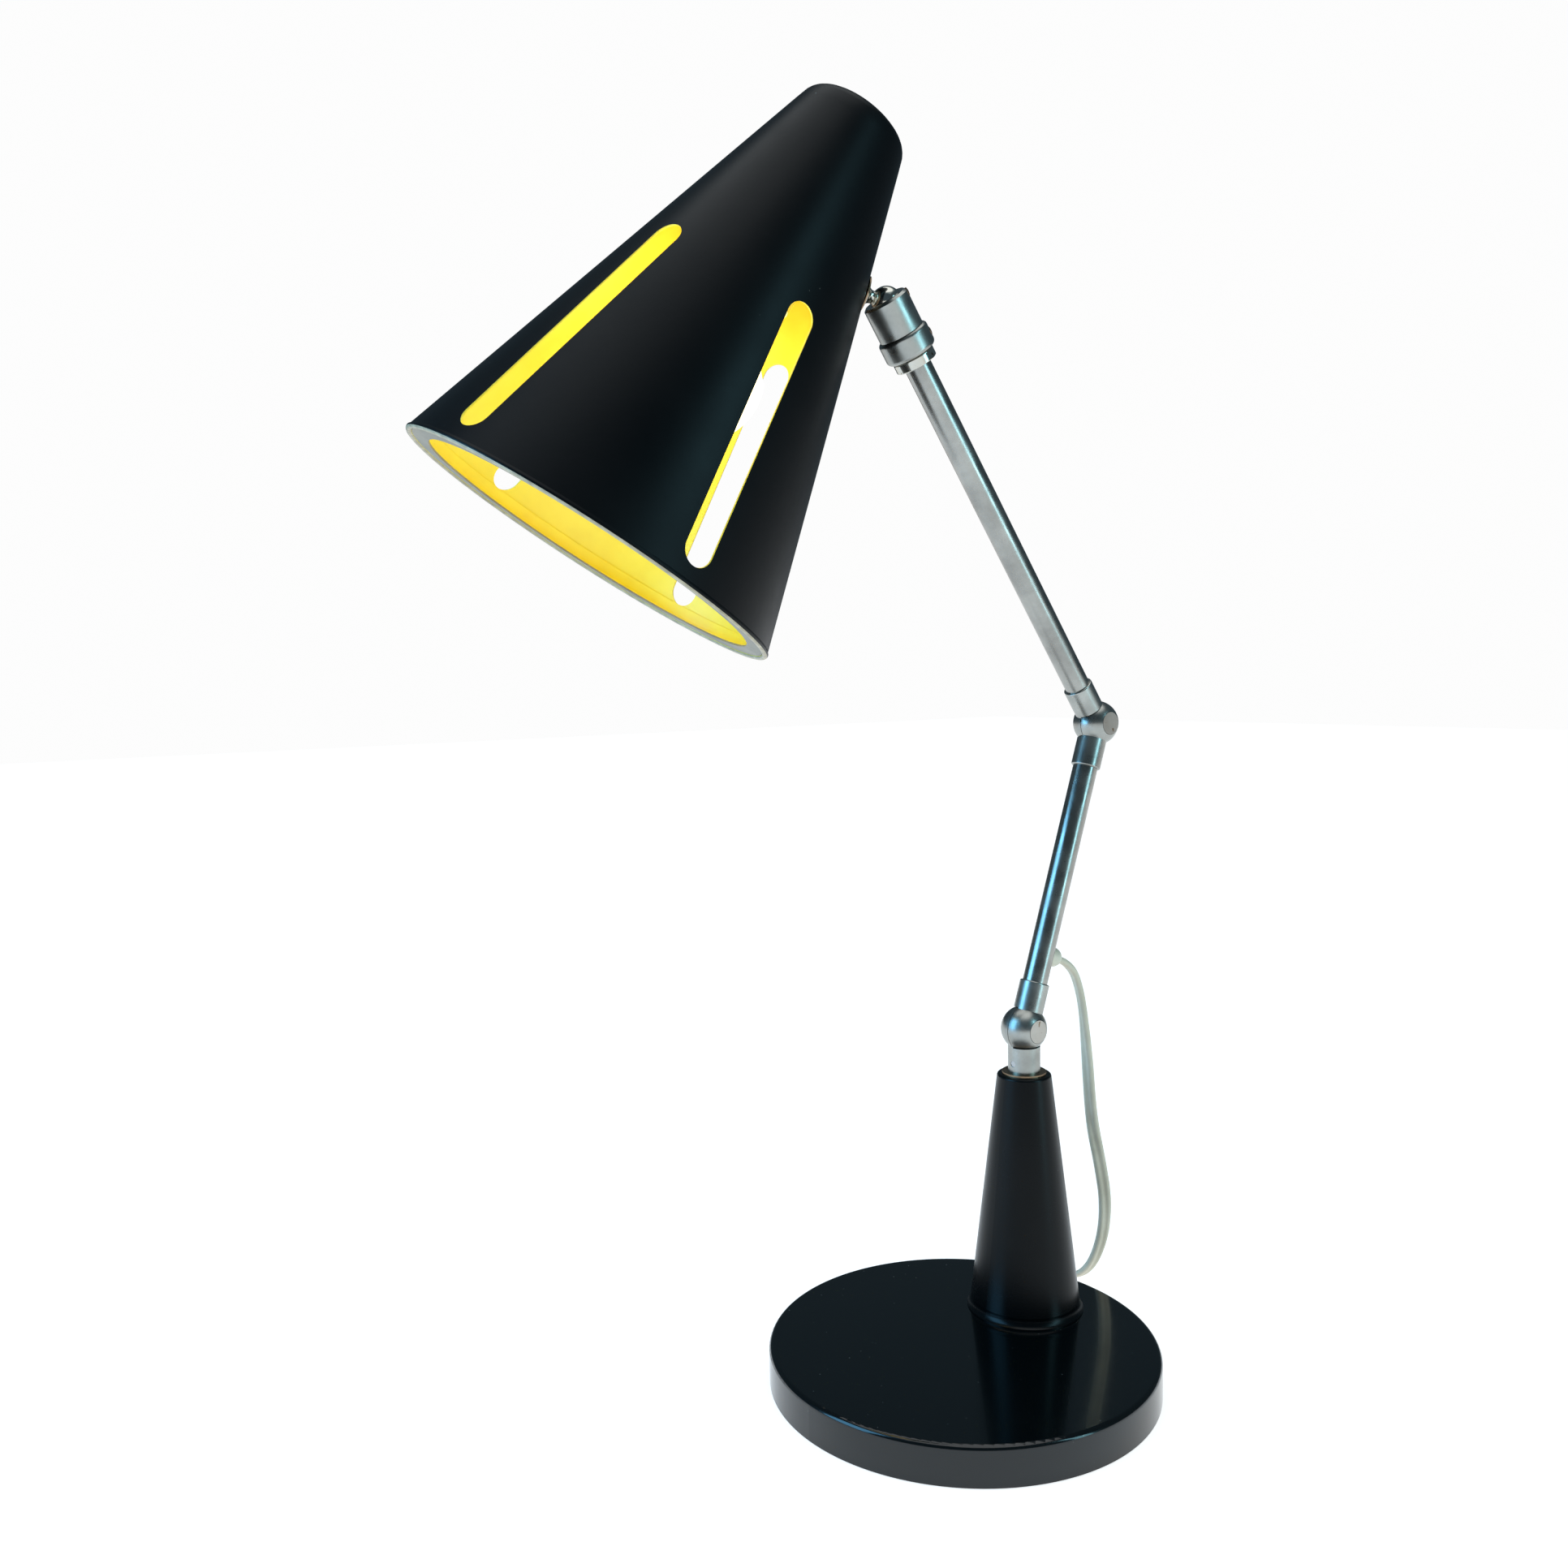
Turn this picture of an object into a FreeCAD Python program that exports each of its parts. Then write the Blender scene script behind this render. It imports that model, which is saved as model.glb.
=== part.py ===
import FreeCAD, Part
import math
import os

V = FreeCAD.Vector

# Desk lamp with a round weighted base, an off-centre conical stem, two tube arms with
# half-ball knuckles, a ball-joint head and a slotted conical shade. Millimetres.
# Origin: centre of the base's underside. +Z up. The arms fold in a plane parallel to XZ,
# and the shade side is +X.

# ---------------------------------------------------------------- driving dimensions
BASE_R = 90.0
BASE_H = 18.0
BASE_EDGE_R = 2.2
BASE_WALL = 1.5
BASE_RIM_Z = 0.5
FELT_T = 1.6
FELT_MARGIN = 2.0
BALLAST_GAP = 0.2

STEM_X = -48.4
STEM_Y = -6.9
STEM_FOOT_R = 26.2
STEM_LIP_R = 28.0
STEM_LIP_H = 0.6
STEM_FLARE_H = 5.0
STEM_TOP_R = 12.9
STEM_H = 116.0
STEM_WALL = 1.4
STEM_RIM_R = 1.3
STEM_PLATE_T = 3.0

ROD_R = 5.0
ROD_BORE_R = 3.4
ROD_IN_BARREL = 9.0
ROD_END_GAP = 0.3
ROD_GROOVE_D = 0.8
ROD_GROOVE_W = 3.2
ROD_NUT_AF = 17.0
ROD_NUT_T = 5.0
ROD_WASHER_R = 11.0
ROD_WASHER_T = 1.5
SWIVEL_WASHER_R = 10.6
SWIVEL_WASHER_T = 1.0

BALL_R = 11.0
BARREL_R = 7.7
BARREL_LEN = 9.8
SLEEVE_R = 7.1
SLEEVE_LEN = 22.8
SLEEVE_EDGE_R = 0.7
HALF_GAP = 0.15
SCALLOP_GAP = 0.5
PIVOT_R = 3.0
PIVOT_HEAD_R = 5.5
PIVOT_HEAD_GROOVE = 0.15
PIVOT_HEAD_T = 3.2
PIVOT_WASHER_T = 0.8
PIVOT_NUT_AF = 8.0
PIVOT_NUT_T = 2.2
REAR_POCKET_R = 5.6
REAR_POCKET_FLOOR = 5.6
PIVOT_RUN = 0.05

TUBE_R = 6.0
TUBE_WALL = 1.0
TUBE_START = 11.8
LOWER_LEN = 153.9
LOWER_LEAN = -19.4
UPPER_LEN = 227.6
UPPER_LEAN = 35.8
SLEEVE_HOLE_W = 3.0
SLEEVE_HOLE_L = 7.0
SLEEVE_HOLE_AT = 15.6

BUSH_AT = 36.7
BUSH_FLANGE_R = 4.9
BUSH_TIP_R = 4.0
BUSH_TIP_OUT = 4.3
BUSH_SHANK_R = 3.5
BUSH_BORE_R = 2.2
LOOM_R = 2.4
LOOM_GAP = 0.3
LOOM_LEN = 96.0

CUP_R = 10.1
CUP_LEN = 15.9
CUP_RIM_PAST_BALL = 1.7
CUP_CHAMFER = 1.0
CUP_SEAM = 0.1
COLLAR_R = 11.4
COLLAR_LEN = 10.4
COLLAR_EDGE_R = 2.0
SPIGOT_R = 8.0
SPIGOT_LEN = 3.0
SPIGOT_RUN = 0.06
HEADNUT_R = 9.4
HEADNUT_T = 4.3
HEADNUT_GAP = 0.3
HEAD_SCREW_R = 2.0
HEAD_SCREW_PROUD = 0.4
HEAD_SCREW_DEPTH = 2.0
HEAD_SCREW_TURN = 137.5
CUP_SCREW_DOWN = 2.2
HEAD_BALL_R = 6.8
HEAD_BALL_RUN = 0.15
BALL_SEAT_R = 5.6

HEAD_SWIVEL = -34.3
HEAD_TILT = 41.4
SHADE_SPIN = 18.7

STUD_NECK_R = 2.7
STUD_FLARE_R = 5.9
STUD_REACH = 10.6
STUD_SHANK_R = 2.4
STUD_BORE_R = 1.5
STUD_RUN = 0.08
SHADE_WASHER_R = 7.7
SHADE_WASHER_T = 0.6

SHADE_MOUTH_R = 86.2
SHADE_CROWN_R = 23.8
SHADE_CONE_LEN = 211.9
SHADE_DOME_H = 3.6
SHADE_EDGE_R = 5.0
SHADE_WALL = 1.0
RIM_BEAD_R = 1.3
SHADE_BRACKET_AT = 155.3
SLOT_W = 13.0
SLOT_LOW = 8.0
SLOT_HIGH = 121.5
SLOT_TURNS = (52.0, 124.0, 220.0, 292.0)
RING_INNER_R = 76.0
RING_T = 0.8
RING_SKIRT_H = 6.5
RING_GAP = 0.1

BRACKET_T = 1.5
NUT_CLEAR = 0.04
BRACKET_W = 12.0
BRACKET_PAD_STAND = 0.55
BRACKET_PAD_DOWN = 6.0
BRACKET_PAD_UP = 14.0
BRACKET_RING_R = 15.0
STUD_NUT_AF = 8.5
STUD_NUT_T = 3.0
STUD_END_PROUD = 0.8
HOLDER_R = 18.0
HOLDER_LEN = 40.0
HOLDER_BORE_R = 13.8
HOLDER_BORE_DEPTH = 26.0
HOLDER_RING_R = 20.5
HOLDER_RING_T = 4.0
HOLDER_RING_AT = 12.0
NIPPLE_R = 5.0
NIPPLE_LEN = 8.0
HOLDER_NUT_AF = 15.0
HOLDER_NUT_T = 3.0
BULB_CAP_R = 13.3
BULB_CAP_LEN = 25.0
BULB_R = 27.5
BULB_WALL = 0.8
BULB_LEN = 68.0
LEAD_R = 2.0

CORD_D = 6.4
HANK_RUN = 128.0
HANK_STEP = 6.9
HANK_INNER_R = 12.8
HANK_FROM_STEM = 100.0
VIEW_TURN = -136.0
TIE_W = 9.0
TIE_T = 1.0
TIE_GAP = 0.3
TIE_AT = 62.0
PLUG_R = 13.0
PLUG_LEN = 34.0
PLUG_NOSE_R = 5.5
PIN_R = 2.4
PIN_LEN = 19.0
PIN_SPACING = 19.0

# ---------------------------------------------------------------- helpers
NODES = {}


def keep(name, shape):
    NODES[name] = shape
    return shape


def unit(v):
    w = V(v)
    w.normalize()
    return w


def seat(shape, origin, z_axis, x_hint):
    """shape, built about its own origin, is set with its Z along z_axis and X near x_hint."""
    z = unit(z_axis)
    x = unit(x_hint - z * x_hint.dot(z))
    y = z.cross(x)
    m = FreeCAD.Matrix(
        x.x, y.x, z.x, origin.x,
        x.y, y.y, z.y, origin.y,
        x.z, y.z, z.z, origin.z,
        0, 0, 0, 1,
    )
    out = shape.copy()
    out.Placement = FreeCAD.Placement(m).multiply(out.Placement)
    return out


def rod(r, z0, z1):
    return Part.makeCylinder(r, z1 - z0, V(0, 0, z0))


def tube(r_out, r_in, z0, z1):
    return rod(r_out, z0, z1).cut(rod(r_in, z0 - 1, z1 + 1))


def turned(points):
    """Solid of revolution about Z from (radius, height) points; a middle point p of
    ("arc", p, q) bends the edge through p to q."""
    edges = []
    last = V(points[0][0], 0, points[0][1])
    first = last
    for p in points[1:]:
        if p[0] == "arc":
            mid = V(p[1][0], 0, p[1][1])
            end = V(p[2][0], 0, p[2][1])
            edges.append(Part.Arc(last, mid, end).toShape())
        else:
            end = V(p[0], 0, p[1])
            edges.append(Part.LineSegment(last, end).toShape())
        last = end
    if last.distanceToPoint(first) > 1e-6:
        edges.append(Part.LineSegment(last, first).toShape())
    return Part.Face(Part.Wire(edges)).revolve(V(0, 0, 0), V(0, 0, 1), 360)


def hexagon(across, z0, z1, bore):
    r = across / math.sqrt(3)
    pts = [V(r * math.cos(math.radians(60 * k)), r * math.sin(math.radians(60 * k)), z0) for k in range(7)]
    body = Part.Face(Part.makePolygon(pts)).extrude(V(0, 0, z1 - z0))
    return body.cut(rod(bore, z0 - 1, z1 + 1))


def box(x0, x1, y0, y1, z0, z1):
    return Part.makeBox(x1 - x0, y1 - y0, z1 - z0, V(x0, y0, z0))


def round_rims(shape, z, r, radius):
    """Fillets the circular edges of radius r that lie at height z."""
    edges = []
    for e in shape.Edges:
        b = e.BoundBox
        if abs(b.ZMin - z) < 1e-4 and abs(b.ZMax - z) < 1e-4 and abs(b.XLength / 2 - r) < 0.02:
            edges.append(e)
    return shape.makeFillet(radius, edges)


def lean(deg):
    """Direction in the arms' plane, leaned from upright towards +X."""
    return V(math.sin(math.radians(deg)), 0, math.cos(math.radians(deg)))


FRONT = V(0, 1, 0)
UP = V(0, 0, 1)

# ---------------------------------------------------------------- joint centres
stem_foot_z = BASE_H
stem_top_z = stem_foot_z + STEM_H
barrel_z = stem_top_z + SWIVEL_WASHER_T
k1 = V(STEM_X, STEM_Y, barrel_z + BARREL_LEN + BALL_R)
lower = lean(LOWER_LEAN)
k2 = k1 + lower * LOWER_LEN
upper = lean(UPPER_LEAN)
k3 = k2 + upper * UPPER_LEN
stem_axis = V(STEM_X, STEM_Y, 0)

# ---------------------------------------------------------------- base
shell = turned([
    (BASE_R, BASE_RIM_Z),
    (BASE_R, BASE_H - BASE_EDGE_R),
    ("arc",
     (BASE_R - BASE_EDGE_R * (1 - math.sqrt(0.5)), BASE_H - BASE_EDGE_R * (1 - math.sqrt(0.5))),
     (BASE_R - BASE_EDGE_R, BASE_H)),
    (0, BASE_H),
    (0, BASE_H - BASE_WALL),
    (BASE_R - BASE_WALL, BASE_H - BASE_WALL),
    (BASE_R - BASE_WALL, BASE_RIM_Z),
])
rod_hole = rod(ROD_R + STUD_RUN, -1, BASE_H + 1)
rod_hole.translate(stem_axis)
keep("base_shell", shell.cut(rod_hole))

ballast_r = BASE_R - BASE_WALL - BALLAST_GAP
ballast_top = BASE_H - BASE_WALL
ballast = rod(ballast_r, FELT_T, ballast_top)
pocket = rod(ROD_WASHER_R + 1, 0, FELT_T + ROD_NUT_T + ROD_WASHER_T + 1)
pocket.translate(stem_axis)
ballast_pocket_top = FELT_T + ROD_NUT_T + ROD_WASHER_T + 1
keep("base_ballast", ballast.cut(pocket).cut(rod_hole))
keep("base_felt", rod(ballast_r - FELT_MARGIN, 0, FELT_T))

# ---------------------------------------------------------------- stem
foot = stem_foot_z
slope = (STEM_FOOT_R - STEM_TOP_R) / (STEM_H - STEM_FLARE_H)
inner_foot_r = STEM_FOOT_R - STEM_WALL
stem = turned([
    (STEM_LIP_R, foot),
    (STEM_LIP_R, foot + STEM_LIP_H),
    ("arc",
     (STEM_FOOT_R + (STEM_LIP_R - STEM_FOOT_R) * 0.25, foot + STEM_FLARE_H * 0.42),
     (STEM_FOOT_R, foot + STEM_FLARE_H)),
    (STEM_TOP_R + slope * STEM_RIM_R, stem_top_z - STEM_RIM_R),
    ("arc",
     (STEM_TOP_R - STEM_RIM_R * (0.25 - slope), stem_top_z - STEM_RIM_R * 0.35),
     (STEM_TOP_R - STEM_RIM_R, stem_top_z)),
    (ROD_R + STUD_RUN, stem_top_z),
    (ROD_R + STUD_RUN, stem_top_z - STEM_PLATE_T),
    (STEM_TOP_R - STEM_WALL, stem_top_z - STEM_PLATE_T),
    (inner_foot_r, foot),
])
stem.translate(stem_axis)
keep("stem_cone", stem)

rod_low = FELT_T + 0.4
rod_top = barrel_z + ROD_IN_BARREL
groove_z = barrel_z + ROD_IN_BARREL / 2
tie = tube(ROD_R, ROD_BORE_R, rod_low, rod_top)
tie = tie.cut(tube(ROD_R + 1, ROD_R - ROD_GROOVE_D, groove_z - ROD_GROOVE_W / 2, groove_z + ROD_GROOVE_W / 2))
tie.translate(stem_axis)
keep("stem_tie_rod", tie)
washer = tube(ROD_WASHER_R, ROD_R, ballast_pocket_top - ROD_WASHER_T, ballast_pocket_top)
washer.translate(stem_axis)
keep("tie_rod_washer", washer)
nut_top = ballast_pocket_top - ROD_WASHER_T
nut = hexagon(ROD_NUT_AF, nut_top - ROD_NUT_T, nut_top, ROD_R)
nut.translate(stem_axis)
keep("tie_rod_nut", nut)
ring = tube(SWIVEL_WASHER_R, ROD_R + STUD_RUN, stem_top_z, barrel_z)
ring.translate(stem_axis)
keep("swivel_washer", ring)

# ---------------------------------------------------------------- knuckle pieces
# Each is built about the ball's centre with its sleeve along +Z and the pivot along +Y.
ball = Part.makeSphere(BALL_R)
clear_ball = Part.makeSphere(BALL_R + SCALLOP_GAP)
BIG = 60.0
front_space = box(-BIG, BIG, HALF_GAP, BIG, -BIG, BIG)
rear_space = box(-BIG, BIG, -BIG, -HALF_GAP, -BIG, BIG)
head_face_y = math.sqrt(BALL_R ** 2 - PIVOT_HEAD_R ** 2)
head_floor_y = head_face_y - PIVOT_HEAD_T
rear_floor_y = -REAR_POCKET_FLOOR


def across(r, y0, y1):
    """Cylinder along Y from y0 to y1."""
    return Part.makeCylinder(r, y1 - y0, V(0, y0, 0), V(0, 1, 0))


def sleeve_and_half(sleeve, side_space, other_space):
    half = ball.common(side_space)
    sleeve = sleeve.cut(clear_ball.common(other_space))
    sleeve = sleeve.cut(box(-BIG, BIG, -HALF_GAP, HALF_GAP, -BIG, BALL_R * 0.6))
    return half.fuse(sleeve).removeSplitter()


def tube_sleeve(length):
    body = round_rims(rod(SLEEVE_R, 0, length), length, SLEEVE_R, SLEEVE_EDGE_R)
    return body.cut(rod(TUBE_R, TUBE_START, length + 1))


def front_knuckle(length):
    """Half ball on the +Y side with its sleeve, bored for the pivot screw."""
    piece = sleeve_and_half(tube_sleeve(length), front_space, rear_space)
    piece = piece.cut(across(PIVOT_HEAD_R + PIVOT_HEAD_GROOVE, head_floor_y, BIG))
    return piece.cut(across(PIVOT_R, -BIG, BIG))


def rear_knuckle(sleeve):
    """Half ball on the -Y side with its sleeve, bored to turn on the pivot screw."""
    piece = sleeve_and_half(sleeve, rear_space, front_space)
    piece = piece.cut(across(PIVOT_R + PIVOT_RUN, -BIG, BIG))
    return piece.cut(across(REAR_POCKET_R, -BIG, rear_floor_y))


def pivot_set(prefix, at, z_axis):
    """Screw with a flush disc head, washer and nut, on the pivot axis through at."""
    washer_y = rear_floor_y - PIVOT_WASHER_T
    nut_y = washer_y - PIVOT_NUT_T
    screw = across(PIVOT_HEAD_R, head_floor_y, head_face_y).fuse(across(PIVOT_R, nut_y - 0.4, head_floor_y))
    keep(prefix + "_pivot_screw", seat(screw.removeSplitter(), at, z_axis, unit(FRONT.cross(z_axis))))
    flat = across(REAR_POCKET_R - 0.3, washer_y, rear_floor_y).cut(across(PIVOT_R, -BIG, BIG))
    keep(prefix + "_pivot_washer", seat(flat, at, z_axis, unit(FRONT.cross(z_axis))))
    hexa = hexagon(PIVOT_NUT_AF, 0, PIVOT_NUT_T, PIVOT_R)
    hexa.rotate(V(0, 0, 0), V(1, 0, 0), -90)
    hexa.translate(V(0, nut_y, 0))
    keep(prefix + "_pivot_nut", seat(hexa, at, z_axis, unit(FRONT.cross(z_axis))))


def arm_seat(shape, at, z_axis):
    """Sets a knuckle piece with +Y kept as the pivot side."""
    return seat(shape, at, z_axis, FRONT.cross(z_axis))


# ---------------------------------------------------------------- swivelling barrel
barrel_depth = k1.z - barrel_z
DOWN = V(0, 0, -1)
barrel = rod(BARREL_R, 0, barrel_depth)
barrel = barrel.cut(rod(ROD_R + PIVOT_RUN, barrel_depth - ROD_IN_BARREL - ROD_END_GAP, barrel_depth + 1))
screw_z = barrel_depth - ROD_IN_BARREL / 2
lock_hole = Part.makeCylinder(ROD_GROOVE_W / 2 - 0.1, BIG, V(-BIG, 0, screw_z), V(1, 0, 0))
barrel_piece = rear_knuckle(barrel).cut(lock_hole.common(box(-BIG, 0, -BIG, BIG, 0, BIG)))
keep("swivel_barrel", arm_seat(barrel_piece, k1, DOWN))
lock = Part.makeCylinder(
    ROD_GROOVE_W / 2 - 0.1, BARREL_R - ROD_R + ROD_GROOVE_D - 0.6,
    V(-BARREL_R + 0.3, 0, screw_z), V(1, 0, 0))
keep("swivel_lock_screw", arm_seat(lock, k1, DOWN))

# ---------------------------------------------------------------- lower arm
hole_side = V(-1, 0, 0)
keep("lower_arm_foot", arm_seat(front_knuckle(SLEEVE_LEN), k1, lower))
pivot_set("lower", k1, lower)
lower_tube_end = LOWER_LEN - TUBE_START
bush_hole = Part.makeCylinder(BUSH_SHANK_R, TUBE_R + 1, V(0, 0, BUSH_AT), V(-1, 0, 0))
lower_pipe = tube(TUBE_R, TUBE_R - TUBE_WALL, TUBE_START, lower_tube_end).cut(bush_hole)
keep("lower_tube", arm_seat(lower_pipe, k1, lower))

top_knuckle = front_knuckle(SLEEVE_LEN)
oblong = box(0, BIG, -SLEEVE_HOLE_W / 2, SLEEVE_HOLE_W / 2,
             SLEEVE_HOLE_AT - SLEEVE_HOLE_L / 2, SLEEVE_HOLE_AT + SLEEVE_HOLE_L / 2)
oblong = oblong.makeFillet(SLEEVE_HOLE_W / 2 - 0.05, [
    e for e in oblong.Edges if e.BoundBox.XLength > 1])
keep("lower_arm_top", arm_seat(top_knuckle.cut(oblong), k2, lower * -1))
pivot_set("upper", k2, lower * -1)

back = V(-lower.z, 0, lower.x)
bush_foot = math.sqrt(TUBE_R ** 2 - BUSH_FLANGE_R ** 2)
bush_tip = TUBE_R + BUSH_TIP_OUT
flange_z = TUBE_R + 1.2
bush = turned([
    (BUSH_BORE_R, TUBE_R - TUBE_WALL - 1.0),
    (BUSH_SHANK_R, TUBE_R - TUBE_WALL - 1.0),
    (BUSH_SHANK_R, bush_foot),
    (BUSH_FLANGE_R, bush_foot),
    (BUSH_FLANGE_R, flange_z),
    ("arc", (BUSH_FLANGE_R - 0.35, flange_z + (bush_tip - flange_z) * 0.62), (BUSH_TIP_R, bush_tip)),
    (BUSH_BORE_R, bush_tip),
])
bush_seat = k1 + lower * BUSH_AT
bush = seat(bush, bush_seat, back, lower)
tube_solid = arm_seat(rod(TUBE_R, TUBE_START, lower_tube_end), k1, lower)
shank = seat(rod(BUSH_SHANK_R, 0, TUBE_R + 0.5), bush_seat, back, lower)
bush = bush.cut(tube_solid.cut(shank))
keep("cord_bush", bush)

loom_off = TUBE_R - TUBE_WALL - LOOM_GAP - LOOM_R
loom = rod(LOOM_R, BUSH_AT + BUSH_SHANK_R + 1, BUSH_AT + BUSH_SHANK_R + 1 + LOOM_LEN)
loom.translate(V(-loom_off, 0, 0))
keep("lower_flex", arm_seat(loom, k1, lower))

# ---------------------------------------------------------------- upper arm
keep("upper_arm_foot", arm_seat(rear_knuckle(tube_sleeve(SLEEVE_LEN)), k2, upper))
rim_s = UPPER_LEN + CUP_RIM_PAST_BALL
cup_low = rim_s - CUP_LEN
collar_top = cup_low - CUP_SEAM
collar_low = collar_top - COLLAR_LEN
headnut_top = collar_low - HEADNUT_GAP
headnut_low = headnut_top - HEADNUT_T
upper_tube_end = collar_top
keep("upper_tube", arm_seat(tube(TUBE_R, TUBE_R - TUBE_WALL, TUBE_START, upper_tube_end), k2, upper))
loom = rod(LOOM_R, TUBE_START + LOOM_R, upper_tube_end - LOOM_R)
loom.translate(V(-loom_off, 0, 0))
keep("upper_flex", arm_seat(loom, k2, upper))

nut = rod(HEADNUT_R, headnut_low, headnut_top)
nut = round_rims(nut, headnut_low, HEADNUT_R, 0.5)
nut = round_rims(nut, headnut_top, HEADNUT_R, 0.5)
keep("head_nut", arm_seat(nut.cut(rod(TUBE_R, 0, rim_s)), k2, upper))
collar = rod(COLLAR_R, collar_low, collar_top)
collar = round_rims(collar, collar_low, COLLAR_R, COLLAR_EDGE_R)
collar = round_rims(collar, collar_top, COLLAR_R, COLLAR_R - CUP_R + 0.4)
collar = collar.fuse(rod(SPIGOT_R, collar_top - 1, collar_top + SPIGOT_LEN))
collar = collar.cut(rod(TUBE_R, 0, collar_top)).cut(rod(TUBE_R - TUBE_WALL, 0, rim_s))


def dome_mid(edge_r, edge_z, top_z):
    """Middle of the arc from (edge_r, edge_z) to (0, top_z) whose centre is on the axis."""
    h = top_z - edge_z
    radius = (edge_r ** 2 + h ** 2) / (2 * h)
    half = math.asin(edge_r / radius) / 2
    return radius * math.sin(half), top_z - radius + radius * math.cos(half)


def screw_at(radius, s, cutter):
    """A small domed screw set radially at height s, HEAD_SCREW_TURN round the arm."""
    r = HEAD_SCREW_R
    top = radius + HEAD_SCREW_PROUD
    d = turned([
        (0, radius - HEAD_SCREW_DEPTH), (r, radius - HEAD_SCREW_DEPTH), (r, radius),
        ("arc", dome_mid(r, radius, top), (0, top)),
    ])
    if cutter:
        d = rod(r, radius - HEAD_SCREW_DEPTH, radius + 5)
    a = math.radians(HEAD_SCREW_TURN)
    return seat(d, V(0, 0, s), V(math.cos(a), math.sin(a), 0), UP)


collar_mid = (collar_low + collar_top) / 2
keep("collar_screw", arm_seat(screw_at(COLLAR_R, collar_mid, False), k2, upper))
keep("head_collar", arm_seat(collar.cut(screw_at(COLLAR_R, collar_mid, True)), k2, upper))

# ---------------------------------------------------------------- cup with the ball seat
socket_r = HEAD_BALL_R + HEAD_BALL_RUN
cup = rod(CUP_R, cup_low, rim_s)
rim_edge = [e for e in cup.Edges if abs(e.BoundBox.ZMin - rim_s) < 1e-4 and abs(e.BoundBox.ZMax - rim_s) < 1e-4]
cup = cup.makeChamfer(CUP_CHAMFER, rim_edge)
socket = Part.makeSphere(socket_r, V(0, 0, UPPER_LEN))
cup = cup.cut(socket)
cup = cup.cut(rod(socket_r, cup_low - 1, UPPER_LEN))
cup = cup.cut(rod(SPIGOT_R + SPIGOT_RUN, cup_low - 1, cup_low + SPIGOT_LEN + 0.2))
seat_low = cup_low + SPIGOT_LEN + 0.3
seat_top = UPPER_LEN - math.sqrt(socket_r ** 2 - BALL_SEAT_R ** 2)
ball_seat = rod(socket_r, seat_low, UPPER_LEN - 2.0)
ball_seat = ball_seat.cut(socket).cut(rod(STUD_BORE_R * 2.0, 0, UPPER_LEN))
keep("ball_seat", arm_seat(ball_seat, k2, upper))
cup_screw_s = rim_s - CUP_SCREW_DOWN
keep("cup_screw", arm_seat(screw_at(CUP_R, cup_screw_s, False), k2, upper))
keep("head_cup", arm_seat(cup.cut(screw_at(CUP_R, cup_screw_s, True)), k2, upper))

# ---------------------------------------------------------------- ball stud
arm_x = FRONT.cross(upper)
side = arm_x * math.cos(math.radians(HEAD_SWIVEL)) + FRONT * math.sin(math.radians(HEAD_SWIVEL))
stud_dir = upper * math.cos(math.radians(HEAD_TILT)) + side * math.sin(math.radians(HEAD_TILT))
stud_dir = unit(stud_dir)
stud_side = unit(upper - stud_dir * upper.dot(stud_dir))
washer_low = STUD_REACH - SHADE_WASHER_T
neck_z = math.sqrt(HEAD_BALL_R ** 2 - STUD_NECK_R ** 2)
bracket_stand = STUD_REACH + SHADE_WALL + BRACKET_PAD_STAND
nut_z = bracket_stand + BRACKET_T + NUT_CLEAR
stud_end = nut_z + STUD_NUT_T + STUD_END_PROUD
flare = turned([
    (0, 0), (STUD_NECK_R, 0), (STUD_NECK_R, neck_z + 0.3),
    ("arc",
     (STUD_NECK_R + (STUD_FLARE_R - STUD_NECK_R) * 0.28, neck_z + (washer_low - neck_z) * 0.66),
     (STUD_FLARE_R, washer_low - 0.5)),
    (STUD_FLARE_R, washer_low), (STUD_SHANK_R, washer_low), (STUD_SHANK_R, stud_end), (0, stud_end),
])
stud = Part.makeSphere(HEAD_BALL_R).fuse(flare).removeSplitter().cut(rod(STUD_BORE_R, -BIG, BIG))
keep("ball_stud", seat(stud, k3, stud_dir, stud_side))
stud_washer = tube(SHADE_WASHER_R, STUD_SHANK_R, washer_low, STUD_REACH - 0.02)
keep("shade_washer", seat(stud_washer, k3, stud_dir, stud_side))
stud_nut = hexagon(STUD_NUT_AF, nut_z, nut_z + STUD_NUT_T, STUD_SHANK_R)
keep("stud_nut", seat(stud_nut, k3, stud_dir, stud_side))

# ---------------------------------------------------------------- shade, about its own axis
# Built with the mouth at height 0, the crown up, and the bracket on the +X side.
taper = (SHADE_MOUTH_R - SHADE_CROWN_R) / SHADE_CONE_LEN
half_angle = math.atan(taper)
shade_top = SHADE_CONE_LEN + SHADE_DOME_H


def cone_r(z):
    return SHADE_MOUTH_R - taper * z


def shade_profile(inset):
    """Outer line of the shade moved inwards by inset."""
    off = inset / math.cos(half_angle)
    bend_z = SHADE_CONE_LEN - SHADE_EDGE_R * 0.6
    bend_r = cone_r(bend_z) - off
    flat_r = SHADE_CROWN_R - SHADE_EDGE_R * 0.95 - inset * 0.4
    flat_z = SHADE_CONE_LEN + SHADE_DOME_H * 0.3 - inset
    mid_r = bend_r - (bend_r - flat_r) * 0.22
    mid_z = bend_z + (flat_z - bend_z) * 0.66
    top_z = shade_top - inset
    dome_r, dome_z = dome_mid(flat_r, flat_z, top_z)
    return bend_r, bend_z, mid_r, mid_z, flat_r, flat_z, dome_r, dome_z, top_z


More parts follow.
